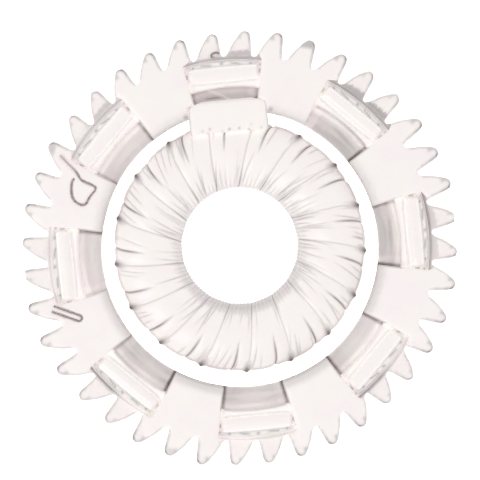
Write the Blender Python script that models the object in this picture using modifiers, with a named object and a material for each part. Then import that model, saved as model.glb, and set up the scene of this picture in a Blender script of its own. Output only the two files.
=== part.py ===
"""Film developing reel: a toothed outer ring with eight guide rollers, and a wrapped hub hung inside it.

The reel lies on its back. Its axis is +Z, its back face is the plane z = 0, and the strap that carries the
hub leaves the outer ring along +Y. Angles are in degrees, counter-clockwise seen from the front, from +X.
Windows sit at 90 + 45 n degrees and the caps between them, so number 1 of each is next to the strap.
"""

import math

import bmesh
import bpy
from mathutils import Matrix, Vector

MM = 0.001
GAP = 0.3 * MM  # left between pieces that touch on the real reel

# Outer ring
WINDOWS = 8
WINDOW_PITCH = 360 / WINDOWS
WINDOW_HALF = 12.1
CAP_HALF = WINDOW_PITCH / 2 - WINDOW_HALF
TEETH = 40
TOOTH_PITCH = 360 / TEETH
TOOTH_PHASE = 2.0  # from a window's middle to the next tip
TIP_RADIUS = 48.2 * MM
ROOT_RADIUS = 42.8 * MM
TIP_ROUND = 1.3 * MM
VALLEY_ROUND = 0.7 * MM
VALLEY_LAG = 2.65  # from a tip clockwise to the middle of the valley beside it
LONG_FLANK = ((3.9 * MM, 2.3), (2.4 * MM, 3.8), (0.9 * MM, 5.0))  # height over the root, angle past the tip
TOOTH_TOP = 4.5 * MM
RING_INNER = 30.9 * MM
RECESS_OUTER = 36.0 * MM
RECESS_FLOOR = 2.0 * MM
BED_OUTER = 42.15 * MM
BED_TOP = 6.2 * MM
CAP_TOP = 9.0 * MM
CAP_CHAMFER = 0.35 * MM
CAP_SIDE_OUTER = 42.1 * MM  # a cap's radial sides end here, and its outer teeth overhang them
CAP_FIRST_FOOT = (0.4 * MM, -1.7)  # foot of its first tooth: height over the root, angle from the tip
CAP_FOOT_GAP = 0.15  # angle left at each side of its foot

# Rollers and their axles
ROLLER_RADIUS = 1.7 * MM
ROLLER_END_RADIUS = 1.55 * MM
ROLLER_END_ROUND = ((0.95 * MM, 0.0), (1.4 * MM, 0.3 * MM))  # radius, and distance from the end
ROLLER_SHOULDER = 0.8 * MM
ROLLER_LENGTH = 15.5 * MM
ROLLER_BORE = 0.6 * MM
AXLE_RADIUS = 0.5 * MM
AXLE_LENGTH = 19.6 * MM
AXLE_SEAT = 0.6 * MM
ROLLER_TRACK = 38.85 * MM  # distance of a roller's middle from the reel's axis
ROLLER_HEIGHT = 6.3 * MM
TROUGH_RADIUS = 2.0 * MM

# Cap pegs, and the sockets for them in the ring
PEG_RADIUS = 1.1 * MM
PEG_TRACK = 39.0 * MM
PEG_FOOT = 1.6 * MM
SOCKET_CLEARANCE = 0.15 * MM

# Wires. The paths are distances from the axis in millimetres, and angles
WIRE_RADIUS = 0.25 * MM
WIRE_TRACK = 42.5 * MM
WIRE_GROOVE = 0.4 * MM
WIRE_REST = 0.05 * MM
SUNK_WIRE_HEIGHT = CAP_TOP - WIRE_RADIUS
HOOK = ((42.5, 447), (42.5, 450), (42.65, 452), (43.15, 453), (43.7, 452.7), (43.9, 451.5), (43.6, 450.5))
KEEPER_TAIL = ((44.9, 147.1), (42.4, 148.3), (40.0, 149.5), (38.2, 151.2))
KEEPER_EYE = (
    (34.7, 151.6),
    (35.2, 155.4),
    (35.8, 158.9),
    (38.0, 158.6),
    (39.3, 156.3),
    (40.0, 153.2),
    (39.9, 151.6),
)
HAIRPIN_OPEN_END = (43.6, 192.4)
HAIRPIN_BEND = (38.4, 198.6)
HAIRPIN_HALF_GAP = 0.65 * MM

# Hub
HUB_TRACK = 20.2 * MM
HUB_OFFSET = 0.6 * MM  # the hub hangs this far above the ring's centre
HUB_HALF_WIDTH = 7.6 * MM
HUB_HALF_HEIGHT = 4.2 * MM
HUB_HEIGHT = 4.6 * MM
WRAP_TURNS = 17
WRAP_THICKNESS = 0.8 * MM
WRAP_HALF_ANGLE = 9.9

# Strap
STRAP_THICKNESS = 0.7 * MM
STRAP_TOP = 8.9 * MM
STRAP_HALF_WIDTH = 8.6 * MM
TONGUE_BENDS = ((90, 8.4), (65, 7.6), (40, 6.3), (15, 6.2), (-10, 6.2), (-35, 6.2))  # slope, half width
FLEX_RADIUS = 29.8 * MM  # distance of the strap's flex line from the reel's axis
FLEX_HEIGHT = STRAP_TOP + 0.2 * MM
STRAP_PIN_RADIUS = 0.45 * MM
STRAP_PIN_LENGTH = 16.6 * MM
STRAP_PIN_TRACK = 31.8 * MM
STRAP_PIN_CLEARANCE = 0.2 * MM
STRAP_PIN_HEIGHT = STRAP_TOP - STRAP_THICKNESS - STRAP_PIN_CLEARANCE - STRAP_PIN_RADIUS
SEAT_FLOOR = 7.7 * MM  # the caps beside the strap are cut down to here beneath it
CLIP_BEND_START = 27.4 * MM
CLIP_EDGE = (26.0 * MM, STRAP_TOP - 0.25 * MM)
CLIP_UNDER_EDGE = 28.9 * MM

REEL = bpy.data.collections.new("film_developing_reel")
CUTTERS = bpy.data.collections.new("cutters")


def polar(radius, angle, z=0.0):
    turn = math.radians(angle)
    return Vector((radius * math.cos(turn), radius * math.sin(turn), z))


def at_angle(angle, radius=0.0, z=0.0):
    """Frame at that place round the ring: its Y points outwards and its X along the ring, clockwise."""
    return Matrix.Rotation(math.radians(angle - 90), 4, "Z") @ Matrix.Translation((0, radius, z))


ALONG_RING = Matrix.Rotation(math.radians(90), 4, "Y")  # lays a cylinder's axis along X


def material(name, colour, roughness, metallic=0.0):
    made = bpy.data.materials.new(name)
    made.use_nodes = True
    shader = made.node_tree.nodes["Principled BSDF"]
    shader.inputs["Base Color"].default_value = (*colour, 1)
    shader.inputs["Roughness"].default_value = roughness
    shader.inputs["Metallic"].default_value = metallic
    return made


MILKY = material("milky_plastic", (0.93, 0.88, 0.87), 0.35)
ROLLER = material("roller_plastic", (0.97, 0.95, 0.93), 0.25)
FILM = material("film", (0.92, 0.87, 0.86), 0.3)
CORE = material("core_foam", (0.85, 0.82, 0.80), 0.7)
STEEL = material("steel", (0.45, 0.42, 0.42), 0.3, 1.0)


def add(obj, finish, frame=None):
    """Puts a visible piece in the reel's collection, with its material and place."""
    REEL.objects.link(obj)
    obj.data.materials.clear()
    obj.data.materials.append(finish)
    if frame is not None:
        obj.matrix_world = frame
    return obj


def mesh_object(name, bm):
    data = bpy.data.meshes.new(name)
    bmesh.ops.recalc_face_normals(bm, faces=bm.faces)
    bm.to_mesh(data)
    bm.free()
    data.shade_smooth()
    data.set_sharp_from_angle(angle=math.radians(35))
    return bpy.data.objects.new(name, data)


def cylinder(bm, radius, length, frame, sides=16):
    bmesh.ops.create_cone(
        bm, cap_ends=True, segments=sides, radius1=radius, radius2=radius, depth=length, matrix=frame
    )


def helper(obj):
    """Hides a mesh that is only cut from, or joined to, another."""
    CUTTERS.objects.link(obj)
    obj.hide_render = True
    obj.display_type = "WIRE"
    return obj


def boolean(obj, other, operation):
    modifier = obj.modifiers.new(other.name, "BOOLEAN")
    modifier.operation = operation
    modifier.object = other


def outline_solid(name, outlines, bottom, top, chamfer=0.0):
    """Closed mesh of flat outlines, the first outside and the rest holes, raised from bottom to top."""
    curve = bpy.data.curves.new(name, "CURVE")
    curve.dimensions = "2D"
    curve.fill_mode = "BOTH"
    curve.extrude = (top - bottom) / 2 - chamfer
    curve.bevel_depth = chamfer
    curve.bevel_resolution = 0
    curve.offset = -chamfer
    for points in outlines:
        spline = curve.splines.new("POLY")
        spline.points.add(len(points) - 1)
        for place, point in zip(spline.points, points):
            place.co = (point.x, point.y, 0, 1)
        spline.use_cyclic_u = True
    return mesh_from_curve(name, curve, Matrix.Translation((0, 0, (bottom + top) / 2)))


def mesh_from_curve(name, curve, frame=Matrix.Identity(4)):
    """A curve as a mesh whose caps are welded to its sides."""
    source = bpy.data.objects.new(name, curve)
    bpy.context.scene.collection.objects.link(source)
    graph = bpy.context.evaluated_depsgraph_get()
    bm = bmesh.new()
    bm.from_mesh(bpy.data.meshes.new_from_object(source.evaluated_get(graph)))
    bpy.data.objects.remove(source)
    bpy.data.curves.remove(curve)
    bmesh.ops.transform(bm, matrix=frame, verts=bm.verts)
    bmesh.ops.remove_doubles(bm, verts=bm.verts, dist=0.005 * MM)
    return mesh_object(name, bm)


def turned(name, profile, steps):
    """A closed profile of (radius, height) points, screwed round Z. Its outer side runs downwards."""
    bm = bmesh.new()
    ring = [bm.verts.new((radius, 0, height)) for radius, height in profile]
    for start, end in zip(ring, ring[1:] + ring[:1]):
        bm.edges.new((start, end))
    data = bpy.data.meshes.new(name)
    bm.to_mesh(data)
    bm.free()
    obj = bpy.data.objects.new(name, data)
    screw = obj.modifiers.new("turn", "SCREW")
    screw.steps = screw.render_steps = steps
    screw.use_merge_vertices = True
    screw.merge_threshold = 0.00001
    screw.use_smooth_shade = True
    return obj


def tube(name, points, radius, cutter=False):
    """A bent wire through those points."""
    curve = bpy.data.curves.new(name, "CURVE")
    curve.dimensions = "3D"
    curve.bevel_depth = radius
    curve.bevel_resolution = 1
    curve.use_fill_caps = True
    spline = curve.splines.new("POLY")
    spline.points.add(len(points) - 1)
    for place, point in zip(spline.points, points):
        place.co = (*point, 1)
    bent = mesh_from_curve(name, curve)
    return helper(bent) if cutter else add(bent, STEEL)


def smooth_path(points, per_span=4):
    """Points on a smooth curve through those given."""
    ends = [2 * points[0] - points[1]] + points + [2 * points[-1] - points[-2]]
    path = []
    for a, b, c, d in zip(ends, ends[1:], ends[2:], ends[3:]):
        for step in range(per_span):
            t = step / per_span
            bend = (2 * a - 5 * b + 4 * c - d) * t**2
            twist = (3 * b - 3 * c + d - a) * t**3
            path.append(0.5 * (2 * b + (c - a) * t + bend + twist))
    return path + [points[-1]]


def over_root(height_and_angle, tip_angle):
    """Point at that height over the teeth's roots, and that angle from a tip."""
    height, angle = height_and_angle
    return polar(ROOT_RADIUS + height, tip_angle + angle)


def valley_before(tip_angle):
    """The round valley on a tooth's clockwise side."""
    angle = tip_angle - VALLEY_LAG
    middle = polar(ROOT_RADIUS + VALLEY_ROUND, angle)
    return [middle + polar(VALLEY_ROUND, angle + turn) for turn in (-120, -160, -200, -240)]


def hooked_tooth(tip_angle):
    """A tooth, counter-clockwise: its steep side, round tip and long flank."""
    middle = polar(TIP_RADIUS - TIP_ROUND, tip_angle)
    tip = [middle + polar(TIP_ROUND, tip_angle + turn) for turn in (-95, -50, -5, 30, 60)]
    return tip + [over_root(place, tip_angle) for place in LONG_FLANK]


def circle(radius, sides):
    return [polar(radius, 360 * side / sides) for side in range(sides)]


def toothed_outline():
    points = []
    for number in range(TEETH):
        tip = TOOTH_PHASE + TOOTH_PITCH * number
        points += valley_before(tip) + hooked_tooth(tip)
    return points


def cap_outline():
    """A cap at the top of the ring, with its three teeth."""
    low, high = 90 - CAP_HALF, 90 + CAP_HALF
    tips = [low - WINDOW_HALF + TOOTH_PHASE + TOOTH_PITCH * number for number in (1, 2, 3)]
    points = [polar(CAP_SIDE_OUTER, low), over_root(CAP_FIRST_FOOT, tips[0])] + hooked_tooth(tips[0])
    for tip in tips[1:]:
        points += valley_before(tip) + hooked_tooth(tip)
    points.append(polar(CAP_SIDE_OUTER, high))
    steps = 6
    inner = [polar(RING_INNER, high - 2 * CAP_HALF * step / steps) for step in range(steps + 1)]
    return points + inner


def sector(inner, outer, half_angle, steps=4):
    """Outline of a piece of ring at the top, that far each side of +Y."""
    span = [90 - half_angle + 2 * half_angle * step / steps for step in range(steps + 1)]
    return [polar(outer, angle) for angle in span] + [polar(inner, angle) for angle in reversed(span)]


def window_angle(number):
    """Angle of the middle of window 1 to 8."""
    return 90 + WINDOW_PITCH * (number - 1)


def cap_angle(number):
    return window_angle(number) + WINDOW_PITCH / 2


def shared_cutters():
    """Helpers that cut the ring and the caps alike: saddles for the axles, and room for the bed and wire."""
    saddles = bmesh.new()
    for number in range(1, WINDOWS + 1):
        axle = at_angle(window_angle(number), ROLLER_TRACK, ROLLER_HEIGHT)
        cylinder(saddles, AXLE_SEAT, AXLE_LENGTH + GAP, axle @ ALONG_RING, 12)
    helper(mesh_object("axle_saddles", saddles))
    for name, radius, top in (
        ("bed_room", BED_OUTER + GAP, BED_TOP + GAP),
        ("wire_room", WIRE_TRACK + WIRE_GROOVE, TOOTH_TOP + 2 * WIRE_GROOVE),
    ):
        room = bmesh.new()
        cylinder(room, radius, top + MM, Matrix.Translation((0, 0, (top - MM) / 2)), 96)
        helper(mesh_object(name, room))


def toothed_ring():
    """The ring: teeth, a raised bed with troughs, the recess along its inner edge, and peg sockets."""
    outlines = [toothed_outline(), circle(RING_INNER, 96)]
    ring = add(outline_solid("toothed_ring", outlines, 0, BED_TOP), MILKY)
    shelf = [(TIP_RADIUS + MM, BED_TOP + MM), (TIP_RADIUS + MM, TOOTH_TOP)]
    shelf += [(BED_OUTER, TOOTH_TOP), (BED_OUTER, BED_TOP + MM)]
    boolean(ring, helper(turned("tooth_shelf_cutter", shelf, 96)), "DIFFERENCE")
    recess = bmesh.new()
    cylinder(recess, RECESS_OUTER, BED_TOP, Matrix.Translation((0, 0, RECESS_FLOOR + BED_TOP / 2)), 96)
    boolean(ring, helper(mesh_object("recess_cutter", recess)), "DIFFERENCE")
    holes = bmesh.new()
    for number in range(1, WINDOWS + 1):
        trough = at_angle(window_angle(number), ROLLER_TRACK, ROLLER_HEIGHT)
        cylinder(holes, TROUGH_RADIUS, ROLLER_LENGTH + 2 * GAP, trough @ ALONG_RING, 16)
        depth = BED_TOP - PEG_FOOT + 2 * GAP
        socket = at_angle(cap_angle(number), PEG_TRACK, PEG_FOOT - GAP + depth / 2)
        cylinder(holes, PEG_RADIUS + SOCKET_CLEARANCE, depth, socket, 12)
    boolean(ring, helper(mesh_object("trough_and_socket_cutter", holes)), "DIFFERENCE")
    boolean(ring, bpy.data.objects["axle_saddles"], "DIFFERENCE")


def cap(number):
    """A cap, which bridges two windows: three teeth, a foot in the recess, a peg, and axle seats."""
    frame = at_angle(cap_angle(number))
    name = f"bridge_cap_{number}"
    piece = add(outline_solid(name, [cap_outline()], TOOTH_TOP + GAP, CAP_TOP, CAP_CHAMFER), MILKY, frame)
    for room in ("bed_room", "wire_room"):
        boolean(piece, bpy.data.objects[room], "DIFFERENCE")
    joined = BED_TOP + 1.2 * MM
    foot = sector(RING_INNER + 0.1 * MM, RECESS_OUTER - GAP, CAP_HALF - CAP_FOOT_GAP)
    foot_piece = outline_solid(f"{name}_foot", [foot], RECESS_FLOOR + GAP, joined)
    peg = bmesh.new()
    middle = Matrix.Translation((0, PEG_TRACK, (joined + PEG_FOOT) / 2))
    cylinder(peg, PEG_RADIUS, joined - PEG_FOOT, middle, 12)
    for part in (foot_piece, mesh_object(f"{name}_peg", peg)):
        helper(part).matrix_world = frame
        boolean(piece, part, "UNION")
    boolean(piece, bpy.data.objects["axle_saddles"], "DIFFERENCE")
    return piece


def roller(number):
    """A barrel roller and the axle that it turns on. The roller's origin is on that axle."""
    half = ROLLER_LENGTH / 2
    side = [(radius, half - inwards) for radius, inwards in ROLLER_END_ROUND]
    side += [(ROLLER_END_RADIUS, half - ROLLER_SHOULDER)]
    side += [((ROLLER_END_RADIUS + 2 * ROLLER_RADIUS) / 3, half / 2), (ROLLER_RADIUS, 0)]
    below = [(radius, -height) for radius, height in reversed(side[:-1])]
    profile = [(ROLLER_BORE, half)] + side + below + [(ROLLER_BORE, -half)]
    frame = at_angle(window_angle(number), ROLLER_TRACK, ROLLER_HEIGHT) @ ALONG_RING
    add(turned(f"guide_roller_{number}", profile, 16), ROLLER, frame)
    pin = bmesh.new()
    cylinder(pin, AXLE_RADIUS, AXLE_LENGTH, Matrix.Identity(4), 12)
    add(mesh_object(f"roller_axle_{number}", pin), STEEL, frame)


def wire_points(places, height):
    return [polar(radius * MM, angle, height) for radius, angle in places]


def retaining_wire():
    """A split ring of wire at the foot of the bed. Its free end, in the strap's window, is a hook."""
    height = TOOTH_TOP + WIRE_RADIUS + WIRE_REST
    run = [polar(WIRE_TRACK, angle, height) for angle in range(97, 446, 5)]
    tube("retaining_wire", run + smooth_path(wire_points(HOOK, height), 2), WIRE_RADIUS)


def hairpin(start, end, half_gap):
    """Path of a wire doubled back on itself: out from start, round the bend at end, and back."""
    along = (end - start).normalized() * half_gap
    across = Vector((along.y, -along.x, 0))
    turns = [math.pi * step / 6 for step in range(7)]
    bend = [end - along + across * math.cos(turn) + along * math.sin(turn) for turn in turns]
    half_way = (start + end) / 2
    return [start + across, half_way + across] + bend + [half_way - across, start - across]


def surface_wire(name, cap_number, path):
    """A bent wire that lies in a groove in a cap's face, flush with it."""
    tube(name, path, WIRE_RADIUS)
    groove = tube(f"{name}_groove", path, WIRE_GROOVE, cutter=True)
    boolean(bpy.data.objects[f"bridge_cap_{cap_number}"], groove, "DIFFERENCE")


def oval(grow, turn):
    """Point (radius, height) of the hub's cross-section, that far outside the wrap's outer face."""
    around = math.radians(turn)
    radius = HUB_TRACK + (HUB_HALF_WIDTH + grow) * math.cos(around)
    return (radius, HUB_HEIGHT + (HUB_HALF_HEIGHT + grow) * math.sin(around))


def hub_wrap():
    """One strip of film wound round the core, seventeen times. Its two ends meet under the strap."""
    per_turn, across = 14, 2
    bm = bmesh.new()
    sections = []
    for step in range(per_turn * WRAP_TURNS):
        turns = (step + 0.5) / per_turn
        middle = 90 + 360 / WRAP_TURNS * turns
        section = []
        for face, order in ((0.0, 1), (-WRAP_THICKNESS, -1)):
            radius, z = oval(face, 360 * turns)
            for place in range(across + 1):
                share = order * (2 * place / across - 1)
                section.append(bm.verts.new(polar(radius, middle + share * WRAP_HALF_ANGLE, z)))
        sections.append(section)
    close_loft(bm, sections)
    return mesh_object("hub_wrap", bm)


def close_loft(bm, sections):
    """Joins rings of vertices one to the next, and closes both ends."""
    for before, after in zip(sections, sections[1:]):
        for corner in range(len(before)):
            follow = (corner + 1) % len(before)
            bm.faces.new((before[corner], before[follow], after[follow], after[corner]))
    bm.faces.new(sections[0])
    bm.faces.new(reversed(sections[-1]))


def tongue():
    """The strap's tongue: flat from the flex line, over the caps' corners, then bent down over the pin."""
    reach = STRAP_PIN_RADIUS + STRAP_PIN_CLEARANCE + STRAP_THICKNESS
    pin = Vector((STRAP_PIN_TRACK, STRAP_PIN_HEIGHT))
    path = [(Vector((FLEX_RADIUS + GAP / 2, STRAP_TOP)), STRAP_HALF_WIDTH)]
    for slope, half_width in TONGUE_BENDS:
        around = math.radians(slope)
        path.append((pin + reach * Vector((math.cos(around), math.sin(around))), half_width * MM))
    bm = bmesh.new()
    sections = []
    for number, (place, half_width) in enumerate(path):
        before, after = path[max(number - 1, 0)][0], path[min(number + 1, len(path) - 1)][0]
        along = (after - before).normalized()
        under = Vector((0, along.y, -along.x)) * STRAP_THICKNESS
        section = [Vector((side * half_width, *place)) for side in (-1, 1)]
        section += [corner + under for corner in reversed(section)]
        sections.append([bm.verts.new(corner) for corner in section])
    close_loft(bm, sections)
    return mesh_object("strap_tongue", bm)


def clip():
    """The strap's other half: a plate, and under it the clip that grips the hub's rim."""
    end = FLEX_RADIUS - GAP / 2
    side = [(end, STRAP_TOP), (CLIP_BEND_START, STRAP_TOP), CLIP_EDGE]
    inner = [oval(GAP, turn) for turn in (48, 32, 16, 0, -16, -32, -48)]
    outer = [oval(GAP + STRAP_THICKNESS, turn) for turn in (-48, -32, -16, 0, 12, 24)]
    side += [(y + HUB_OFFSET, z) for y, z in inner + outer]
    side += [(CLIP_UNDER_EDGE, STRAP_TOP - STRAP_THICKNESS), (end, STRAP_TOP - STRAP_THICKNESS)]
    stand = Matrix.Rotation(math.radians(90), 4, "Z") @ Matrix.Rotation(math.radians(90), 4, "X")
    outline = [Vector((y, z)) for y, z in side]
    add(outline_solid("strap_clip", [outline], -STRAP_HALF_WIDTH, STRAP_HALF_WIDTH), FILM, stand)


def strap_seat():
    """Cuts the caps' corners down beneath the strap's tongue."""
    wide = STRAP_HALF_WIDTH + GAP
    far = STRAP_PIN_TRACK + STRAP_PIN_RADIUS + STRAP_PIN_CLEARANCE + STRAP_THICKNESS + GAP
    right = [Vector((wide, FLEX_RADIUS)), Vector((wide, STRAP_PIN_TRACK + GAP))]
    right += [Vector((wide - MM, far - MM)), Vector((wide - 2 * MM, far))]
    left = [Vector((-point.x, point.y)) for point in reversed(right)]
    seat = helper(outline_solid("strap_seat", [right + left], SEAT_FLOOR, CAP_TOP + MM))
    for number in (1, WINDOWS):
        boolean(bpy.data.objects[f"bridge_cap_{number}"], seat, "DIFFERENCE")


def strap():
    """The strap in its two halves, which meet at the flex line, and the pin that its tongue hooks over."""
    add(tongue(), FILM)
    clip()
    strap_seat()
    frame = Matrix.Translation((0, STRAP_PIN_TRACK, STRAP_PIN_HEIGHT)) @ ALONG_RING
    for name, radius, length in (
        ("strap_pin", STRAP_PIN_RADIUS, STRAP_PIN_LENGTH),
        ("strap_pin_seats", STRAP_PIN_RADIUS + 0.1 * MM, STRAP_PIN_LENGTH + GAP),
    ):
        bm = bmesh.new()
        cylinder(bm, radius, length, frame, 12)
        pin = mesh_object(name, bm)
        if name == "strap_pin":
            add(pin, STEEL)
            continue
        for number in (1, WINDOWS):
            boolean(bpy.data.objects[f"bridge_cap_{number}"], pin, "DIFFERENCE")
        helper(pin)


def hub():
    """The core hoop and its winding, which hang a little above the ring's centre."""
    frame = Matrix.Translation((0, HUB_OFFSET, 0))
    profile = [oval(-WRAP_THICKNESS - GAP, -30 * side) for side in range(12)]
    add(turned("hub_core", profile, 48), CORE, frame)
    add(hub_wrap(), FILM, frame)


def swinging(*names):
    """Hangs the pieces that swing on an empty, on the strap's flex line."""
    flex = bpy.data.objects.new("hub_flex_line", None)
    REEL.objects.link(flex)
    flex.location = (0, FLEX_RADIUS, FLEX_HEIGHT)
    bpy.context.view_layer.update()
    for name in names:
        piece = bpy.data.objects[name]
        piece.parent = flex
        piece.matrix_parent_inverse = flex.matrix_world.inverted()


def main():
    for obj in list(bpy.data.objects):
        bpy.data.objects.remove(obj)
    for collection in (REEL, CUTTERS):
        bpy.context.scene.collection.children.link(collection)
    shared_cutters()
    toothed_ring()
    for number in range(1, WINDOWS + 1):
        cap(number)
        roller(number)
    retaining_wire()
    keeper = smooth_path(wire_points(KEEPER_TAIL + KEEPER_EYE, SUNK_WIRE_HEIGHT), 3)
    surface_wire("keeper_loop", 2, keeper)
    ends = wire_points((HAIRPIN_OPEN_END, HAIRPIN_BEND), SUNK_WIRE_HEIGHT)
    surface_wire("hairpin_clip", 3, hairpin(*ends, HAIRPIN_HALF_GAP))
    strap()
    hub()
    swinging("strap_clip", "hub_core", "hub_wrap")


main()
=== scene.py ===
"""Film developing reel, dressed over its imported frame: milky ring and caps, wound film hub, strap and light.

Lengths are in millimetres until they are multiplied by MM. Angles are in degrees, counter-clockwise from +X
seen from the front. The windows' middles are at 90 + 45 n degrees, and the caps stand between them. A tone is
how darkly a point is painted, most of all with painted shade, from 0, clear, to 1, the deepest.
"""

import math

import bmesh
import bpy
import numpy as np
from mathutils import Matrix, Vector


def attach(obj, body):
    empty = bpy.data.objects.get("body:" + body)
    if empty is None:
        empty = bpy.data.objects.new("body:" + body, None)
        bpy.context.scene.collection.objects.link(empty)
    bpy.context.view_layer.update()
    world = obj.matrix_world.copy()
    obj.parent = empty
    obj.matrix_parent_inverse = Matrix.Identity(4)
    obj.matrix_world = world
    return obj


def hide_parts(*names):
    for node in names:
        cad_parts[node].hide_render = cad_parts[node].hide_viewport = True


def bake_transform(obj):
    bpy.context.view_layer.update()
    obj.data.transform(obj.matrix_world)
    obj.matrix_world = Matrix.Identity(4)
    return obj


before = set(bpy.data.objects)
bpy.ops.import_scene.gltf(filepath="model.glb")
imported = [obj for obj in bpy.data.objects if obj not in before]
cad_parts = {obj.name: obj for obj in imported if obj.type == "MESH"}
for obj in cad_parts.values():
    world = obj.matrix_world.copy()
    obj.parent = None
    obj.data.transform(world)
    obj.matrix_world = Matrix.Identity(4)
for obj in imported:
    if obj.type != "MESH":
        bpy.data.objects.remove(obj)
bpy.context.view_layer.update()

MM = 0.001

# Where the ring's features are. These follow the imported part
WINDOWS = 8
WINDOW_PITCH = 360 / WINDOWS
WINDOW_HALF = 12.1  # degrees from a window's middle to the caps beside it
TEETH = 40
TOOTH_PITCH = 360 / TEETH
TOOTH_PHASE = 2.0
RING_INNER = 30.9
RECESS_OUTER = 36.0
BED_OUTER = 42.15
ROOT_RADIUS = 42.8
TIP_RADIUS = 48.2
BED_TOP = 6.2
CAP_TOP = 9.0
ROLLER_TRACK = 38.85
ROLLER_HEIGHT = 6.3
TROUGH_OUTER = 40.85
TROUGH_RADIUS = 2.0
WIRE_OUTER = 42.9  # past this the retaining wire is its hook

# Roller
ROLLER_HALF = 7.95  # half its length
ROLLER_RADIUS = 1.7
ROLLER_BORE = 0.6
ROLLER_END_ROUND = 0.9
ROLLER_BARREL = 0.15  # how much slimmer it is near its ends than at its middle
ROLLER_SIDES = 40

# Hub: its section is an ellipse on a circular track
HUB_TRACK = 20.2
HUB_OFFSET = 0.6  # how far the hub's middle lies towards the strap
HUB_HALF_WIDTH = 7.6
HUB_HALF_HEIGHT = 4.2
HUB_HEIGHT = 4.6
WRAP_TURNS = 17
WRAP_PITCH = 360 / WRAP_TURNS
WRAP_EDGE = 12.5  # angle at which one turn's edge passes the hub's rim
ROWS_PER_TURN = 44
POINTS_AROUND = 96
CREASES = 190

# Strap
STRAP_TOP = 8.9
STRAP_THICKNESS = 0.7
STRAP_SHIFT = 0.22  # clockwise of the window's middle
STRAP_START = 25.9  # its end on the hub
STRAP_WIDE_HALF = 8.68
STRAP_TONGUE_HALF = 6.2
SHOULDER_START = 31.1
SHOULDER_LENGTH = 1.85
STRAP_PIN_TRACK = 31.8
STRAP_PIN_REACH = 1.35
# Place of each pleat, from -1 to 1 across the strap, and how dark the painted shade in it is
STRAP_PLEATS = (
    (-0.72, 0.25), (-0.55, 0.4), (-0.2, 0.15), (-0.03, 0.45), (0.22, 0.3), (0.5, 0.35), (0.8, 0.2),
)

# How deep the painted shade lies in each window, counter-clockwise from the one at the strap, and, in
# END_LIGHT, how much painted light its ends get. A pair is for the window's counter-clockwise and clockwise
# ends
RECESS_SHADE = (1.75, 0.55, 0.5, 0.85, 0.65, 0.45, 1.45, 1.3)
END_LIGHT = ((0.0, 0.4), (0.0, 0.0), (0.8, 0.0), (0.0, 0.3), (0.2, 0.2), (0.2, 0.1), (0.0, 0.7), (1.0, 0.0))
END_SHADE = (
    (0.4, 0.4), (0.5, 0.7), (0.3, 0.8), (1.0, 0.5), (0.85, 0.8), (0.85, 0.9), (0.45, 0.9), (0.12, 0.8),
)
RIM_SHADE = (
    (0.2, 0.35), (0.1, 0.1), (0.15, 0.1), (0.3, 0.5), (0.4, 0.4), (0.15, 0.1), (0.1, 0.1), (0.45, 0.6),
)
FOOT_SHADE = (
    (0.75, 0.75), (0.5, 0.6), (0.25, 0.35), (0.1, 0.95), (0.3, 0.05), (0.3, 0.9), (0.9, 0.8), (0.85, 0.8),
)
ROOT_SHADE = (
    (0.15, 0.7), (0.15, 0.6), (0.1, 0.15), (0.05, 0.1), (0.0, 0.0), (0.05, 0.1), (0.4, 0.4), (0.9, 1.0),
)
DARKER_TIPS = {7: 0.42, 16: 0.30, 27: 0.15}  # number of each darker tooth, and how dark it is

CAMERA_ROLL = -5.5
CAMERA_LENS = 300
SENSOR = 36
VIEW_WIDTH = 106.7  # what the picture spans at mid height
VIEW_SHIFT = 1.87  # the ring's middle lies this far below the picture's
MID_HEIGHT = 6.0

# painted light: the milky plastic glows by itself, standing in for the light it passes on from behind, and
# this lightens the shade in its hollows
PAINTED_GLOW = 0.30  # light that the milky plastic passes on from behind
FLOOR_GLOW = 0.62
WORLD_STRENGTH = 0.50
LAMPS = (  # name, place and size in metres, power in watts
    ("key", (-0.5, -0.35, 0.8), 0.5, 2.2),
    ("fill", (0.6, 0.4, 0.7), 0.8, 0.9),
)

rng = np.random.default_rng(7)


def smoothstep(low, high, value):
    """0 before low, 1 past high, and smooth between them. Low may be the larger one, for a fall."""
    t = np.clip((value - low) / (high - low), 0, 1)
    return t * t * (3 - 2 * t)


def bell(value, width):
    return np.exp(-((value / width) ** 2))


def highest(first, *others):
    """The largest of the values at each point."""
    for other in others:
        first = np.maximum(first, other)
    return first


# ---------------------------------------------------------------- materials


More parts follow.
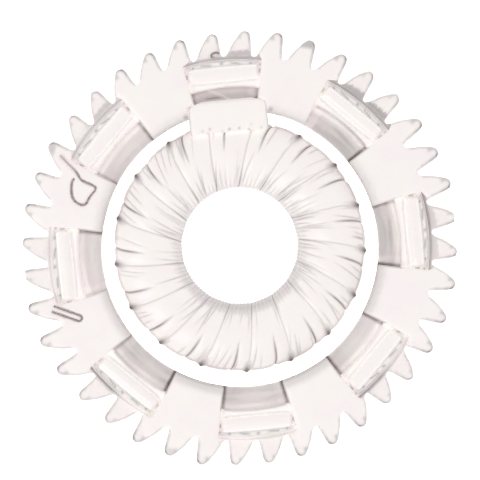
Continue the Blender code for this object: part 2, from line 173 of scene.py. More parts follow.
class Nodes:
    """Short calls that build one material's node tree."""

    def __init__(self, name):
        self.material = bpy.data.materials.new(name)
        self.material.use_nodes = True
        self.tree = self.material.node_tree
        self.shader = self.tree.nodes["Principled BSDF"]
        self.place = self.make("ShaderNodeTexCoord").outputs["Object"]

    def make(self, kind, **settings):
        node = self.tree.nodes.new(kind)
        for key, value in settings.items():
            setattr(node, key, value)
        return node

    def put(self, socket, value):
        if isinstance(value, bpy.types.NodeSocket):
            self.tree.links.new(value, socket)
        else:
            socket.default_value = value

    def math(self, operation, *values):
        node = self.make("ShaderNodeMath", operation=operation)
        for socket, value in zip(node.inputs, values):
            self.put(socket, value)
        return node.outputs[0]

    def noise(self, size_mm, detail):
        node = self.make("ShaderNodeTexNoise")
        self.put(node.inputs["Vector"], self.place)
        node.inputs["Scale"].default_value = 1 / (size_mm * MM)
        node.inputs["Detail"].default_value = detail
        return node.outputs["Fac"]

    def attribute(self, name):
        return self.make("ShaderNodeAttribute", attribute_name=name).outputs["Fac"]

    def ramp(self, value, stops):
        node = self.make("ShaderNodeValToRGB")
        self.put(node.inputs[0], value)
        band = node.color_ramp
        band.interpolation = "EASE"
        for number, (position, colour) in enumerate(stops):
            stop = band.elements[number] if number < 2 else band.elements.new(position)
            stop.position = position
            stop.color = (*colour, 1)
        return node.outputs["Color"]

    def mix(self, factor, a, b, blend="MIX"):
        """Mixes two colours. Inputs 6 and 7 and output 2 are the node's sockets for colours."""
        node = self.make("ShaderNodeMix", data_type="RGBA", blend_type=blend)
        self.put(node.inputs["Factor"], factor)
        self.put(node.inputs[6], a)
        self.put(node.inputs[7], b)
        return node.outputs[2]

    def bump(self, height, distance_mm, strength, over=None):
        node = self.make("ShaderNodeBump")
        node.inputs["Strength"].default_value = strength
        node.inputs["Distance"].default_value = distance_mm * MM
        self.put(node.inputs["Height"], height)
        if over is not None:
            self.put(node.inputs["Normal"], over)
        return node.outputs["Normal"]

    def finish(self, **inputs):
        """Sets the shader's inputs, each named with underscores for its spaces."""
        for name, value in inputs.items():
            self.put(self.shader.inputs[name.replace("_", " ")], value)
        return self.material


def rgb(red, green, blue):
    """A display colour of 0 to 255 as the linear colour that a shader takes."""
    return tuple(((c / 255 + 0.055) / 1.055) ** 2.4 for c in (red, green, blue))


WARM_WHITE = rgb(248, 243, 239)
ROSE_WHITE = rgb(248, 240, 240)
COOL_WHITE = rgb(241, 242, 241)  # in the troughs, where light that bounces about would turn too warm
WIRE_GLINT = rgb(238, 228, 226)
# What the tone does to the white: each stop's tone, and the colour that multiplies the white there
TONE_STOPS = (
    (0.0, (1, 1, 1)),
    (0.22, rgb(227, 227, 227)),
    (0.5, rgb(199, 199, 200)),
    (0.8, rgb(157, 150, 149)),
    (1.0, rgb(114, 105, 104)),
)


def milky(name, rose, roughness, subsurface):
    """Milky plastic, with painted shade from the mesh's own tone attribute and a painted glow. Rose is how
    much of the rosy white shows.
    """
    n = Nodes(name)
    cloud = n.noise(5.0, 2.0)
    mottle = n.noise(0.9, 4.0)
    white = n.ramp(cloud, ((0.35, WARM_WHITE), (0.65, ROSE_WHITE)))
    white = n.mix(rose, (*WARM_WHITE, 1), white)
    white = n.mix(n.attribute("cool"), white, (*COOL_WHITE, 1))
    uneven = n.math("MULTIPLY_ADD", n.math("SUBTRACT", mottle, 0.5), 0.10, n.attribute("tone"))
    colour = n.mix(1.0, white, n.ramp(uneven, TONE_STOPS), "MULTIPLY")
    gloss = n.math("MULTIPLY_ADD", mottle, 0.16, roughness - 0.08)
    grain = n.bump(n.noise(0.35, 2.0), 0.02, 0.35)
    swell = n.bump(n.noise(3.0, 2.0), 0.12, 0.5, grain)
    return n.finish(
        Base_Color=colour,
        # painted glow: the plastic gives off light in its own colour
        Emission_Color=colour,
        Emission_Strength=PAINTED_GLOW,
        Roughness=gloss,
        Normal=swell,
        IOR=1.46,
        Subsurface_Weight=subsurface,
        Subsurface_Radius=(1.0, 0.98, 0.97),
        Subsurface_Scale=0.9 * MM,
    )


def wire_metal(name, light, dark, metallic):
    """Drawn wire. The mesh's own glint attribute, where it has one, takes it to a paler glint."""
    n = Nodes(name)
    drawn = n.noise(0.5, 4.0)
    colour = n.ramp(drawn, ((0.3, dark), (0.7, light)))
    return n.finish(
        Base_Color=n.mix(n.attribute("glint"), colour, (*WIRE_GLINT, 1)),
        Metallic=metallic,
        Roughness=n.math("MULTIPLY_ADD", drawn, 0.2, 0.3),
        Normal=n.bump(drawn, 0.01, 0.4),
    )


MOULDED = milky("milky_moulding", 1.0, 0.34, 0.15)
FILM = milky("pleated_film", 0.9, 0.3, 0.12)
ROLLER = milky("roller_plastic", 0.8, 0.24, 0.12)
WIRE = wire_metal("wire", rgb(206, 196, 193), rgb(160, 148, 145), 0.6)
AXLE = wire_metal("axle_steel", rgb(240, 236, 234), rgb(222, 216, 214), 0.2)


# ---------------------------------------------------------------- meshes


def add_object(name, data):
    obj = bpy.data.objects.new(name, data)
    bpy.context.scene.collection.objects.link(obj)
    return obj


def moulded_copy(node, name, voxel_mm, passes):
    """An even, softened remesh of a CAD node: its edges come out rounded, as moulded plastic has them."""
    work = add_object(name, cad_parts[node].data.copy())
    remesh = work.modifiers.new("even", "REMESH")
    remesh.mode = "VOXEL"
    remesh.voxel_size = voxel_mm * MM
    smooth = work.modifiers.new("soft", "SMOOTH")
    smooth.factor = 0.5
    smooth.iterations = passes
    bpy.context.view_layer.update()
    graph = bpy.context.evaluated_depsgraph_get()
    result = bpy.data.meshes.new_from_object(work.evaluated_get(graph))
    result.name = name
    work.modifiers.clear()
    work.data = result
    work.data.materials.clear()
    work.data.shade_smooth()
    return work


def wire_copy(node, name, material):
    """A copy of a CAD wire, smooth-shaded, in another material."""
    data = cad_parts[node].data.copy()
    data.materials.clear()
    data.materials.append(material)
    data.shade_smooth()
    return add_object(name, data)


def points_of(data):
    co = np.empty(len(data.vertices) * 3)
    data.vertices.foreach_get("co", co)
    return co.reshape(-1, 3)


def normals_of(data):
    normal = np.empty(len(data.vertices) * 3)
    data.vertex_normals.foreach_get("vector", normal)
    return normal.reshape(-1, 3)


def set_points(data, co):
    data.vertices.foreach_set("co", co.ravel())
    data.update()


def set_values(data, name, values):
    """A value of 0 to 1 for each point, which the materials read by its name."""
    attribute = data.attributes.new(name, "FLOAT", "POINT")
    attribute.data.foreach_set("value", np.clip(values, 0, 1).astype(np.float32))


def polar_of(co):
    """Radius, angle and height of each point."""
    angle = np.degrees(np.arctan2(co[:, 1], co[:, 0])) % 360
    return np.hypot(co[:, 0], co[:, 1]) / MM, angle, co[:, 2] / MM


def signed(angle):
    """The same angle between -180 and 180."""
    return (angle + 180) % 360 - 180


def window_place(angle):
    """Number (0 is the strap's) of the nearest window, and degrees counter-clockwise from its middle."""
    number = np.round((angle - 90) / WINDOW_PITCH)
    return number.astype(int) % WINDOWS, angle - 90 - number * WINDOW_PITCH


def tooth_place(angle):
    """Number of the nearest tooth tip, and degrees counter-clockwise from it."""
    number = np.round((angle - TOOTH_PHASE) / TOOTH_PITCH)
    return number.astype(int) % TEETH, angle - TOOTH_PHASE - number * TOOTH_PITCH


def past_tip(beside):
    """Degrees counter-clockwise from a tooth's tip, -4 to 5, so that its whole long flank is past it."""
    return (beside + 4.0) % TOOTH_PITCH - 4.0


def by_end(pairs, window, across):
    """The value that belongs to the nearer end of each point's window, blended across its middle."""
    pairs = np.array(pairs)[window]
    share = smoothstep(-3.0, 3.0, across)
    return pairs[:, 0] * share + pairs[:, 1] * (1 - share)


# ---------------------------------------------------------------- teeth

TOOTH_TURNS = np.radians(TOOTH_PHASE + TOOTH_PITCH * np.arange(TEETH))
# How far each tooth leans, in degrees, and how much longer it is, both at its tip
TOOTH_LEAN = 0.3 + 0.5 * np.cos(TOOTH_TURNS + 0.2) + rng.uniform(-0.25, 0.25, TEETH)
TOOTH_GROWTH = 0.35 + 0.5 * np.cos(2 * (TOOTH_TURNS - 0.6)) + rng.uniform(-0.15, 0.15, TEETH)


def vary_teeth(co):
    """Leans and shortens each tooth a little, the same for the ring and for the caps on it."""
    radius, angle, _ = polar_of(co)
    tooth, _ = tooth_place(angle - 1.2)
    out = smoothstep(ROOT_RADIUS, TIP_RADIUS, radius)
    turn = np.radians(angle + TOOTH_LEAN[tooth] * out)
    radius = radius + TOOTH_GROWTH[tooth] * out
    limit = (TIP_RADIUS - 0.06) * MM
    result = co.copy()
    result[:, 0] = np.clip(radius * np.cos(turn) * MM, -limit, limit)
    result[:, 1] = np.clip(radius * np.sin(turn) * MM, -limit, limit)
    return result


def edge_tone(radius, angle, normal):
    """Shade on the rounded rims, deeper on the teeth's sides that face clockwise."""
    turn = np.radians(angle)
    clockwise = normal[:, 0] * np.sin(turn) - normal[:, 1] * np.cos(turn)
    slope = smoothstep(0.15, 0.9, 1 - np.abs(normal[:, 2]))
    teeth = smoothstep(ROOT_RADIUS - 0.5, ROOT_RADIUS + 1.5, radius)
    return slope * (0.14 + 0.12 * teeth + 0.30 * np.clip(clockwise, 0, 1) * teeth)


def tooth_tone(radius, angle, lined):
    """Shade inside a tooth's outline: its tip, its steep side and, as much as lined, its foot and flank."""
    _, beside = tooth_place(angle)
    past = past_tip(beside)
    # round the tip, from a point inside it, deepest towards the steep side
    across = past * radius * math.pi / 180
    middle = TIP_RADIUS - 1.3
    from_middle = np.hypot(across, radius - middle)
    clockwise = np.degrees(np.arctan2(-across, radius - middle))
    tip = smoothstep(0.50, 1.10, from_middle) * smoothstep(middle - 0.9, middle, radius)
    tip = tip * (0.33 + 0.50 * bell(clockwise - 50, 40))
    # down the steep side, with a spot at its foot, and along the long flank
    steep = bell(past + 1.3, 0.40) * smoothstep(43.4, 44.2, radius)
    steep = steep * (0.26 + 0.28 * smoothstep(45.2, 46.6, radius))
    foot = bell(past + 1.8, 0.5) * bell(radius - 43.4, 0.4) * 0.45 * lined
    flank = np.interp(radius, (43.7, 45.2, 46.7, 47.5), (4.8, 3.6, 2.1, 1.2))
    long_side = bell(past - flank, 0.40) * smoothstep(43.0, 43.8, radius) * 0.38 * lined
    # a few listed teeth are darker at their tips
    tooth, _ = tooth_place(angle - 0.5)
    tip_darkening = np.array([DARKER_TIPS.get(number, 0.0) for number in range(TEETH)])[tooth]
    tip_darkening = tip_darkening * smoothstep(46.0, 47.0, radius + 0.12 * past)
    return highest(tip, steep, long_side, foot, tip_darkening)


# ---------------------------------------------------------------- ring


def recess_tone(radius, window, across):
    """Painted shade on the recess's floor, deeper in two streaks along it, with a painted glint across the
    strap's window, lighter towards the bed, and with painted shade and painted light at its ends.
    """
    deep = np.array(RECESS_SHADE)[window]
    at_strap = window == 0
    from_middle = np.abs(across)
    # the streaks wander, and come and go, differently in each window
    bend = 0.22 * np.sin(across * 0.23 + window * 1.9)
    streaks = bell(radius - 33.9 - bend, 0.35) + 0.8 * bell(radius - 32.4 + bend, 0.3)
    patch = 0.5 + 0.5 * np.sin(across * 0.37 + window * 1.3)
    shade = 0.14 + 0.16 * deep + 0.20 * deep * streaks * patch + 0.14 * smoothstep(33.0, 31.4, radius)
    shade = shade - 0.10 * bell(radius - 35.1, 0.3) * (1 - patch)
    glint = bell(across - 1.5 - 2.7 * (radius - 34.4), 0.8) * at_strap
    lit = by_end(END_LIGHT, window, across) * smoothstep(7.5, 9.5, from_middle)
    shade = shade * (1 - 0.55 * glint) * (1 - 0.5 * lit)
    shade = shade - (0.08 + 0.10 * deep) * smoothstep(33.8, 35.4, radius) * (1 - 0.8 * at_strap)
    ends = by_end(END_SHADE, window, across) * smoothstep(WINDOW_HALF - 1.5, WINDOW_HALF - 0.5, from_middle)
    return shade + 0.75 * ends + (0.05 + 0.10 * deep) * bed_wall(radius, across)


def inside_window(across):
    return smoothstep(WINDOW_HALF, WINDOW_HALF - 1.5, np.abs(across))


def bed_wall(radius, across):
    """The line of painted shade along the bed's inner wall, in the windows."""
    return bell(radius - RECESS_OUTER, 0.22) * inside_window(across)


def bed_strip_tone(radius, beside):
    """Painted shade on the bed's outer strip: a dot at each tooth's steep side and a dash along its long
    flank.
    """
    past = past_tip(beside)
    dash = bell(radius - 41.0 - 0.1 * (past - 1.5), 0.2)
    dash = dash * smoothstep(0.8, 1.8, past) * smoothstep(5.0, 4.4, past)
    dot = bell(radius - 41.25, 0.3) * bell(past + 1.8, 0.5)
    return 0.10 + np.maximum(0.55 * dash, 0.70 * dot)


def root_edge(tooth, beside):
    """Radius at which the shade at the teeth's roots ends, a ragged line."""
    return 44.2 + 0.12 * np.sin(beside * 3.1 + tooth) - 0.07 * past_tip(beside)


def ring_piece():
    piece = moulded_copy("toothed_ring", "moulded_ring", 0.375, 3)
    data = piece.data
    co = points_of(data)
    radius, angle, height = polar_of(co)
    _, beside = tooth_place(angle)
    outlined = tooth_tone(radius, angle, 1.0)
    # the bed's outer strip is a little higher from each tooth's steep side on
    ridge = smoothstep(-2.2, -1.7, beside) * smoothstep(TROUGH_OUTER, TROUGH_OUTER + 0.35, radius)
    co[:, 2] += 0.14 * MM * ridge * smoothstep(BED_TOP - 0.6, BED_TOP - 0.2, height)
    co = vary_teeth(co)
    set_points(data, co)

    normal = normals_of(data)
    radius, angle, height = polar_of(co)
    window, across = window_place(angle)
    tooth, beside = tooth_place(angle)
    foot_shade = by_end(FOOT_SHADE, window, across)
    front = smoothstep(0.3, 1.5, height)
    tone = edge_tone(radius, angle, normal)
    # painted shade on the recess's floor, and a line of it along the bed's inner wall
    floor = smoothstep(RECESS_OUTER + 0.2, RECESS_OUTER - 0.1, radius) * smoothstep(5.6, 3.5, height) * front
    wall = bed_wall(radius, across) * front * by_end(RIM_SHADE, window, across)
    tone = highest(tone, floor * recess_tone(radius, window, across), wall)
    # painted shade on the bed's top: on its outer strip, and in a line along its outer edge
    top = smoothstep(BED_TOP - 1.2, BED_TOP - 0.4, height)
    strip = top * smoothstep(TROUGH_OUTER - 0.3, TROUGH_OUTER, radius)
    line = top * bell(radius - BED_OUTER + 0.3, 0.28) * inside_window(across)
    tone = highest(tone, strip * bed_strip_tone(radius, beside), line * 0.55 * foot_shade)
    # painted shade in the troughs, which are straight, so that they are placed by their distance from the
    # roller's axis
    beyond = radius * np.cos(np.radians(across)) - ROLLER_TRACK
    from_surface = np.abs(np.hypot(beyond, height - ROLLER_HEIGHT) - TROUGH_RADIUS)
    trough = smoothstep(0.4, 0.0, from_surface) * inside_window(across)
    tone = highest(tone, trough * (0.16 + 0.14 * smoothstep(-0.5, 0.5, beyond)))
    # painted shade at the foot of the bed, and on the teeth, with more of it at their roots
    corner = bell(radius - BED_OUTER - 0.3, 0.5) * smoothstep(5.6, 5.0, height) * front
    upper = smoothstep(0.5, 0.9, normal[:, 2]) * smoothstep(5.2, 4.9, height)
    edge = root_edge(tooth, beside)
    root = smoothstep(edge + 0.25, edge - 0.25, radius)
    root = root * smoothstep(ROOT_RADIUS - 0.2, ROOT_RADIUS + 0.3, radius)
    root = root * by_end(ROOT_SHADE, window, across)
    face = 0.06 * smoothstep(ROOT_RADIUS, ROOT_RADIUS + 0.6, radius)
    tone = highest(tone, corner * 0.6 * foot_shade, upper * root * 0.62, upper * np.maximum(outlined, face))
    back = smoothstep(0.6, 0.0, height)
    set_values(data, "tone", tone * (1 - 0.7 * back) + 0.06 * back)
    set_values(data, "cool", trough)
    data.materials.append(MOULDED)
    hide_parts("toothed_ring")
    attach(piece, "ring")


# ---------------------------------------------------------------- caps


def sunk_face(radius, across):
    """How far a cap's face is lowered: a little under its wires, and more towards its rims."""
    fall = 0.2 + 0.30 * (across / 10.4) ** 4
    fall = fall + 0.2 * smoothstep(33.0, 30.9, radius) + 0.3 * smoothstep(44.0, 48.0, radius)
    return np.clip(fall, 0, 0.65)


def cap_piece(number):
    """The cap between window number - 1 and the next one counter-clockwise. Window 0 is the strap's."""
    node = f"bridge_cap_{number}"
    piece = moulded_copy(node, f"moulded_cap_{number}", 0.27, 4)
    data = piece.data
    co = points_of(data)
    radius, angle, height = polar_of(co)
    middle = 90 + WINDOW_PITCH * (number - 0.5)
    outlined = tooth_tone(radius, angle, 0.6) * smoothstep(7.5, 8.2, height)
    face = smoothstep(CAP_TOP - 1.2, CAP_TOP - 0.3, height)
    co[:, 2] -= sunk_face(radius, signed(angle - middle)) * face * MM
    co = vary_teeth(co)
    set_points(data, co)

    normal = normals_of(data)
    radius, angle, height = polar_of(co)
    turn = np.radians(angle)
    # painted shade along the inner edge, deeper on the caps further down the picture
    lower_half = 0.5 - 0.5 * np.sin(np.radians(middle))
    fade = smoothstep(RING_INNER + 3.2, RING_INNER, radius)
    rim = smoothstep(RING_INNER + 0.7, RING_INNER + 0.1, radius)
    inner = fade * (0.13 + 0.12 * lower_half) + 0.16 * rim
    # painted shade on the sides, most of all the one that faces the hub
    side = smoothstep(0.35, 0.9, 1 - np.abs(normal[:, 2]))
    inward = np.clip(-(normal[:, 0] * np.cos(turn) + normal[:, 1] * np.sin(turn)), 0, 1)
    tone = highest(edge_tone(radius, angle, normal), inner) + 0.10 * smoothstep(7.6, 4.0, height) * side
    tone = tone + 0.30 * side * inward * smoothstep(RING_INNER + 0.8, RING_INNER, radius)
    # lines of painted shade down the sides that close the windows' recesses
    low_end, high_end = END_SHADE[number - 1][0], END_SHADE[number % WINDOWS][1]
    across = signed(angle - middle)
    strength = np.where(across < 0, low_end, high_end)
    beyond = np.abs(across) - (WINDOW_PITCH / 2 - WINDOW_HALF)
    line = smoothstep(-0.75, -0.15, beyond) * smoothstep(RECESS_OUTER + 0.5, RECESS_OUTER, radius)
    tone = highest(tone, 0.62 * strength * line)
    if number in (1, WINDOWS):  # the shade beside the strap
        from_strap = np.hypot(np.abs(co[:, 0] / MM - STRAP_SHIFT) - 9.4, co[:, 1] / MM - 29.9)
        tone = highest(tone, 0.6 * bell(from_strap, 0.7))
    set_values(data, "tone", highest(tone, outlined) + 0.05 * smoothstep(45.6, 47.6, radius))
    data.materials.append(MOULDED)
    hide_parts(node)
    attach(piece, "ring")


# ---------------------------------------------------------------- rollers


def roller_profile():
    """Radius and place along the axle, from the bore's edge over the barrel to the bore's other edge."""
    end_radius = ROLLER_RADIUS - ROLLER_BARREL
    straight = ROLLER_HALF - ROLLER_END_ROUND
    profile = [(ROLLER_BORE, ROLLER_HALF - 0.03)]
    for step in range(8):
        turn = math.pi / 2 * step / 7
        radius = end_radius - ROLLER_END_ROUND * (1 - math.sin(turn))
        profile.append((radius, ROLLER_HALF - ROLLER_END_ROUND * (1 - math.cos(turn))))
    for step in range(1, 9):
        along = straight * (1 - step / 8)
        profile.append((ROLLER_RADIUS - ROLLER_BARREL * (along / straight) ** 2, along))
    return profile + [(radius, -along) for radius, along in reversed(profile[:-1])]


def roller_piece(number):
    """A barrel roller with rounded ends, turned about its axle."""
    turns = [2 * math.pi * side / ROLLER_SIDES for side in range(ROLLER_SIDES)]
    bm = bmesh.new()
    rings = []
    for radius, along in roller_profile():
        places = [(along * MM, radius * MM * math.cos(turn), radius * MM * math.sin(turn)) for turn in turns]
        rings.append([bm.verts.new(place) for place in places])
    for before, after in zip(rings, rings[1:] + rings[:1]):
        for side in range(ROLLER_SIDES):
            follow = (side + 1) % ROLLER_SIDES
            bm.faces.new((before[side], after[side], after[follow], before[follow]))
    bmesh.ops.recalc_face_normals(bm, faces=bm.faces)
    data = bpy.data.meshes.new(f"roller_{number}")
    bm.to_mesh(data)
    bm.free()
    along = np.abs(points_of(data)[:, 0]) / MM
    # painted shade towards both ends of the roller
    set_values(data, "tone", 0.02 + 0.16 * smoothstep(ROLLER_HALF - 0.8, ROLLER_HALF - 0.1, along))
    turned = Matrix.Rotation(math.radians(WINDOW_PITCH * (number - 1)), 4, "Z")
    data.transform(turned @ Matrix.Translation((0, ROLLER_TRACK * MM, ROLLER_HEIGHT * MM)))
    data.shade_smooth()
    data.materials.append(ROLLER)
    piece = add_object(f"barrel_roller_{number}", data)
    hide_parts(f"guide_roller_{number}")
    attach(piece, f"roller_{number}")


# ---------------------------------------------------------------- wires


def retaining_wire_piece():
    """The wire at the foot of the bed, with the same painted shade as the bed's foot in each window. Its hook
    is the darkest.
    """
    piece = wire_copy("retaining_wire", "bed_wire", ROLLER)
    radius, angle, _ = polar_of(points_of(piece.data))
    window, across = window_place(angle)
    shade = 0.10 + 0.62 * by_end(FOOT_SHADE, window, across)
    set_values(piece.data, "tone", np.where(radius > WIRE_OUTER, 0.85, shade))
    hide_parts("retaining_wire")
    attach(piece, "ring")


def keeper_piece():
    """The keeper loop, whose straight tail catches the light."""
    piece = wire_copy("keeper_loop", "keeper_wire", WIRE)
    radius, _, _ = polar_of(points_of(piece.data))
    set_values(piece.data, "glint", 0.75 * smoothstep(39.3, 41.5, radius))
    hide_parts("keeper_loop")
    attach(piece, "ring")


# ---------------------------------------------------------------- hub


def grid_mesh(name, points, wrap_rows=False, twist=0):
    """A mesh of a grid of points (rows, columns, 3), closed round its columns. Twist rows lie between a row's
    last point and the row on which it closes."""
    rows, columns, _ = points.shape
    index = np.arange(rows * columns).reshape(rows, columns).tolist()
    faces = []
    for row in range(rows if wrap_rows else rows - 1):
        here, beyond = index[row], index[(row + 1) % rows]
        for column in range(columns - 1):
            faces.append((here[column], beyond[column], beyond[column + 1], here[column + 1]))
        first, second = index[(row + twist) % rows], index[(row + 1 + twist) % rows]
        faces.append((here[-1], beyond[-1], second[0], first[0]))
    data = bpy.data.meshes.new(name)
    data.from_pydata(points.reshape(-1, 3).tolist(), [], faces)
    data.shade_smooth()
    return data


def fine_creases(angle, outer, degree, front):
    """Painted shade and depth of the fine creases, which start at the hole or, fewer, at the rim, and lean."""
    tone = np.zeros_like(angle)
    depth = np.zeros_like(angle)
    for number in range(CREASES):
        at_hole = number % 5 < 3
        start = rng.uniform(0, 360)
        reach = rng.uniform(0.15, 0.8) if at_hole else rng.uniform(0.12, 0.65)
        run = (1 + outer) / 2 if at_hole else (1 - outer) / 2
        lean = rng.uniform(-16, -4) if at_hole else rng.uniform(6, 18)
        away = signed(np.degrees(angle) - start - lean * run) * degree
        line = np.exp(-np.abs(away / rng.uniform(0.10, 0.17)) ** 1.3)
        along = smoothstep(reach, 0.3 * reach, run) * front
        tone = highest(tone, rng.uniform(0.18, 0.55) * line * along)
        depth = depth + rng.uniform(0.05, 0.16) * bell(away, 0.45) * along
    return tone, depth


def winding_piece():
    """The wound film: each turn laid over the next, with a bold pleat near the rim and fine ones at the hole.

    The rows run along the winding, and the points of a row once round the hub's section. Share is how far a
    row is through its turn, and outer is 1 at the hub's rim and -1 at its hole.
    """
    row = np.arange(WRAP_TURNS * ROWS_PER_TURN)
    phi = 2 * np.pi * np.arange(POINTS_AROUND) / POINTS_AROUND
    share, phi = np.meshgrid((row % ROWS_PER_TURN) / ROWS_PER_TURN, phi, indexing="ij")
    turn = np.repeat((row // ROWS_PER_TURN)[:, None], POINTS_AROUND, axis=1)
    turn_wave = rng.uniform(-1, 1, (6, WRAP_TURNS))  # what differs from turn to turn
    angle = np.radians(WRAP_EDGE + WRAP_PITCH * (turn + share + phi / (2 * np.pi)))
    outer = np.cos(phi)
    hole = smoothstep(0.2, 0.95, -outer)
    front = smoothstep(-0.1, 0.3, np.sin(phi))
    lower = 0.5 - 0.5 * np.sin(angle)
    radius = HUB_TRACK + HUB_HALF_WIDTH * outer
    degree = radius * math.pi / 180  # how long one degree is at that radius
    span = WRAP_PITCH * degree

    def fold(place, width, sharp=1.0):
        """How close each point is to a fold at that share of the turn, from 0 to 1 on the fold."""
        away = (share - place + 0.5) % 1 - 0.5
        return np.exp(-np.abs(away * span / width) ** sharp)

    # the turn swells between its edges, except at the hole, which stays round
    even = 1 - 0.85 * smoothstep(-0.2, 0.8, -outer)
    lift = (0.40 * np.sin(np.pi * np.clip(share / 0.98, 0, 1)) ** 0.7 + 0.25 * (1 - share) ** 2) * even
    # its edge, and the bold pleat, both sunk and with painted shade in them
    pleat = 0.66 + 0.03 * turn_wave[0][turn] - 0.03 * (1 - outer)
    pleat_strength = smoothstep(-0.1, 0.7, outer)
    depth = (0.24 - 0.18 * hole) * fold(0.0, 0.40) + 0.50 * pleat_strength * fold(pleat, 0.38)
    tone = (0.26 + 0.5 * hole) * fold(0.0, 0.14 + 0.08 * hole, 1.3)
    tone = highest(tone, pleat_strength**1.4 * fold(pleat, 0.20, 1.4))
    # the fine creases, and the ticks round the hole, sunk and with painted shade, the ticks' deeper further
    # down the picture
    crease_tone, crease_depth = fine_creases(angle, outer, degree, front)
    ticks = np.sin(2 * np.pi * (share * 6 + 0.25 * turn_wave[5][turn]))
    depth = depth + crease_depth + 0.06 * hole**3 * ticks
    tick_tone = (0.30 + 0.24 * lower) * hole**3 * smoothstep(0.4, 0.98, ticks)
    # the lens-shaped lobe between each pleat and the next turn's edge
    lift = lift + 0.16 * bell(share - 0.84, 0.11) * bell(outer - 0.75, 0.3)
    # the small knot where each turn's edge passes the rim, on the front half, raised and with painted shade
    off = (share + 0.5) % 1 - 0.5
    knot = bell(off * span, 0.78) * bell((phi + np.pi) % (2 * np.pi) - np.pi - 0.26, 0.34)
    # painted shade on the rim, the hole's edge and the wall inside it, deeper further down the picture
    rim_tone = 0.30 * smoothstep(0.88, 1.0, outer)
    hole_tone = (0.30 + 0.28 * lower) * smoothstep(0.80, 1.0, -outer)
    wall_tone = 0.42 * lower**1.5 * smoothstep(0.55, 0.92, -outer)
    tone = highest(tone, crease_tone, tick_tone, knot, rim_tone, hole_tone, wall_tone)
    height = lift - depth - 0.30 + 0.80 * knot

    a, b = HUB_HALF_WIDTH, HUB_HALF_HEIGHT
    length = np.hypot(np.cos(phi) / a, np.sin(phi) / b)
    radius = radius + height * np.cos(phi) / a / length
    z = HUB_HEIGHT + b * np.sin(phi) + height * np.sin(phi) / b / length
    points = np.stack([radius * np.cos(angle), radius * np.sin(angle) + HUB_OFFSET, z], -1) * MM
    data = grid_mesh("winding", points, wrap_rows=True, twist=ROWS_PER_TURN)
    set_values(data, "tone", tone.ravel())
    data.materials.append(FILM)
    piece = add_object("film_winding", data)
    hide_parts("hub_wrap")
    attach(piece, "hub")


# ---------------------------------------------------------------- strap


def strap_half_width(y):
    """Half the strap's width at a distance from the reel's axis: wide, round shoulders, then the tongue."""
    if y <= SHOULDER_START:
        return STRAP_WIDE_HALF
    drop = math.sqrt(max(0.0, 1 - ((y - SHOULDER_START) / SHOULDER_LENGTH) ** 2))
    return STRAP_TONGUE_HALF + (STRAP_WIDE_HALF - STRAP_TONGUE_HALF) * drop


def strap_path():
    """Points (y, z) of the film's outside: from the hub, over the flex line, and round the pin."""
    pin_height = STRAP_TOP - STRAP_PIN_REACH
    flat = np.linspace(STRAP_START, STRAP_PIN_TRACK, 34)
    path = [(y, STRAP_TOP - 0.25 * smoothstep(27.6, STRAP_START, y)) for y in flat]
    for around in np.radians(np.linspace(82, -38, 13)):
        y = STRAP_PIN_TRACK + STRAP_PIN_REACH * math.cos(around)
        path.append((y, pin_height + STRAP_PIN_REACH * math.sin(around)))
    return np.array(path, dtype=float)


def strap_piece():
    """The strap's film, one skin from the ring over to the hub."""
    path = strap_path()
    along = np.gradient(path, axis=0)
    along /= np.linalg.norm(along, axis=1)[:, None]
    down = np.stack([along[:, 1], -along[:, 0]], -1)
    share = np.linspace(-1, 1, 33)  # across the strap
    rounding = np.sqrt(np.clip(1 - np.abs(share) ** 12, 0, 1))
    rings = []
    tones = []
    for number, ((y, z), under) in enumerate(zip(path, down)):
        half = strap_half_width(y)
        from_end = min(number, len(path) - 1 - number)
        middle = np.array([y, z]) + under * STRAP_THICKNESS / 2
        thick = STRAP_THICKNESS / 2 * rounding * (0.55 + 0.45 * min(1.0, from_end / 1.5))
        wave = 0.05 * np.sin(share * 9 + 1.0) * smoothstep(27.2, STRAP_START, y)
        upper = middle[None] - under[None] * (thick + wave)[:, None]
        lower = middle[None] + under[None] * thick[:, None]
        ring = [(s * half + STRAP_SHIFT, *place) for s, place in zip(share, upper)]
        ring += [(s * half + STRAP_SHIFT, *place) for s, place in zip(share[-2:0:-1], lower[-2:0:-1])]
        rings.append(ring)
        # painted shade along the strap's rims, in its pleats near the hub, and where it turns round the pin
        rim = smoothstep(0.93, 1.0, np.abs(share)) * 0.12
        lean = 0.05 * (y - 26)
        pleats = sum(dark * bell(share - place - lean, 0.018) for place, dark in STRAP_PLEATS)
        tone = highest(rim, pleats * smoothstep(28.0, 26.4, y)) + 0.14 * smoothstep(32.2, 33.1, y)
        tones.append(np.concatenate([tone, tone[-2:0:-1]]))
    data = grid_mesh("strap", np.array(rings) * MM)
    bm = bmesh.new()
    bm.from_mesh(data)
    bmesh.ops.holes_fill(bm, edges=[edge for edge in bm.edges if edge.is_boundary], sides=0)
    bmesh.ops.recalc_face_normals(bm, faces=bm.faces)
    bm.to_mesh(data)
    bm.free()
    set_values(data, "tone", np.concatenate(tones))
    data.shade_smooth()
    data.materials.append(FILM)
    piece = add_object("strap_film", data)
    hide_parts("strap_tongue")
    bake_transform(piece)


def clip_piece():
    """The clip under the strap that grips the hub's rim."""
    piece = moulded_copy("strap_clip", "rim_clip", 0.2, 2)
    data = piece.data
    co = points_of(data)
    co[:, 2] -= 0.35 * MM * smoothstep(STRAP_TOP - 1.0, STRAP_TOP - 0.2, co[:, 2] / MM)
    set_points(data, co)
    set_values(data, "tone", np.full(len(co), 0.12))
    data.materials.append(FILM)
    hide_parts("strap_clip")
    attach(piece, "hub")


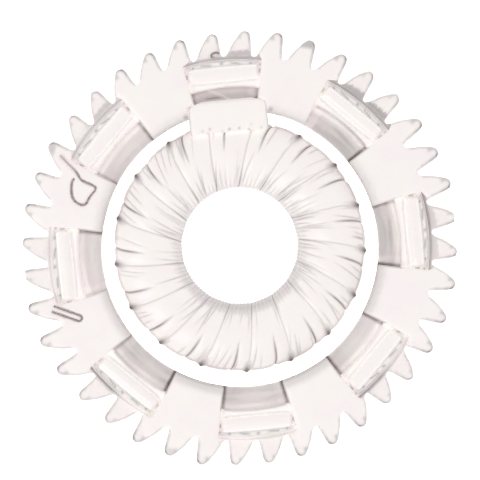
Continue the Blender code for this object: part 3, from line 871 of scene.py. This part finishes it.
def dress_frame():
    """Materials of the CAD nodes that stay as they are."""
    finishes = {f"roller_axle_{number}": AXLE for number in range(1, WINDOWS + 1)}
    finishes.update(strap_pin=AXLE, hairpin_clip=WIRE, hub_core=ROLLER)
    for name, finish in finishes.items():
        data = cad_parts[name].data
        data.materials.clear()
        data.materials.append(finish)


# ---------------------------------------------------------------- stage, light and camera


def floor():
    n = Nodes("pale_floor")
    colour = n.ramp(n.noise(40.0, 2.0), ((0.0, (0.95, 0.95, 0.95)), (1.0, (1.0, 1.0, 1.0))))
    finish = n.finish(
        Base_Color=colour, Roughness=0.9, Emission_Color=(1, 1, 1, 1), Emission_Strength=FLOOR_GLOW
    )
    bpy.ops.mesh.primitive_plane_add(size=3, location=(0, 0, -0.05 * MM))
    plane = bpy.context.object
    plane.name = "floor"
    plane.data.materials.append(finish)


def light():
    world = bpy.data.worlds.new("soft_studio")
    world.use_nodes = True
    background = world.node_tree.nodes["Background"]
    background.inputs["Color"].default_value = (1, 1, 1, 1)
    background.inputs["Strength"].default_value = WORLD_STRENGTH
    bpy.context.scene.world = world
    for name, place, size, power in LAMPS:
        lamp = bpy.data.lights.new(name, "AREA")
        lamp.size = size
        lamp.energy = power
        holder = add_object(name, lamp)
        holder.location = place
        holder.rotation_euler = (-Vector(place)).to_track_quat("-Z", "Y").to_euler()


def camera():
    """Straight above the reel, far off with a long lens, and rolled a little."""
    data = bpy.data.cameras.new("camera")
    data.lens = CAMERA_LENS
    data.sensor_width = SENSOR
    data.clip_start, data.clip_end = 0.05, 20
    holder = add_object("camera", data)
    roll = math.radians(CAMERA_ROLL)
    up = Vector((-math.sin(roll), math.cos(roll), 0))
    distance = VIEW_WIDTH * MM * CAMERA_LENS / SENSOR
    holder.location = up * VIEW_SHIFT * MM + Vector((0, 0, MID_HEIGHT * MM + distance))
    holder.rotation_euler = (0, 0, roll)
    bpy.context.scene.camera = holder


camera()
light()
floor()
ring_piece()
for number in range(1, WINDOWS + 1):
    cap_piece(number)
    roller_piece(number)
retaining_wire_piece()
keeper_piece()
winding_piece()
strap_piece()
clip_piece()
dress_frame()
bpy.context.scene.view_settings.view_transform = "Standard"
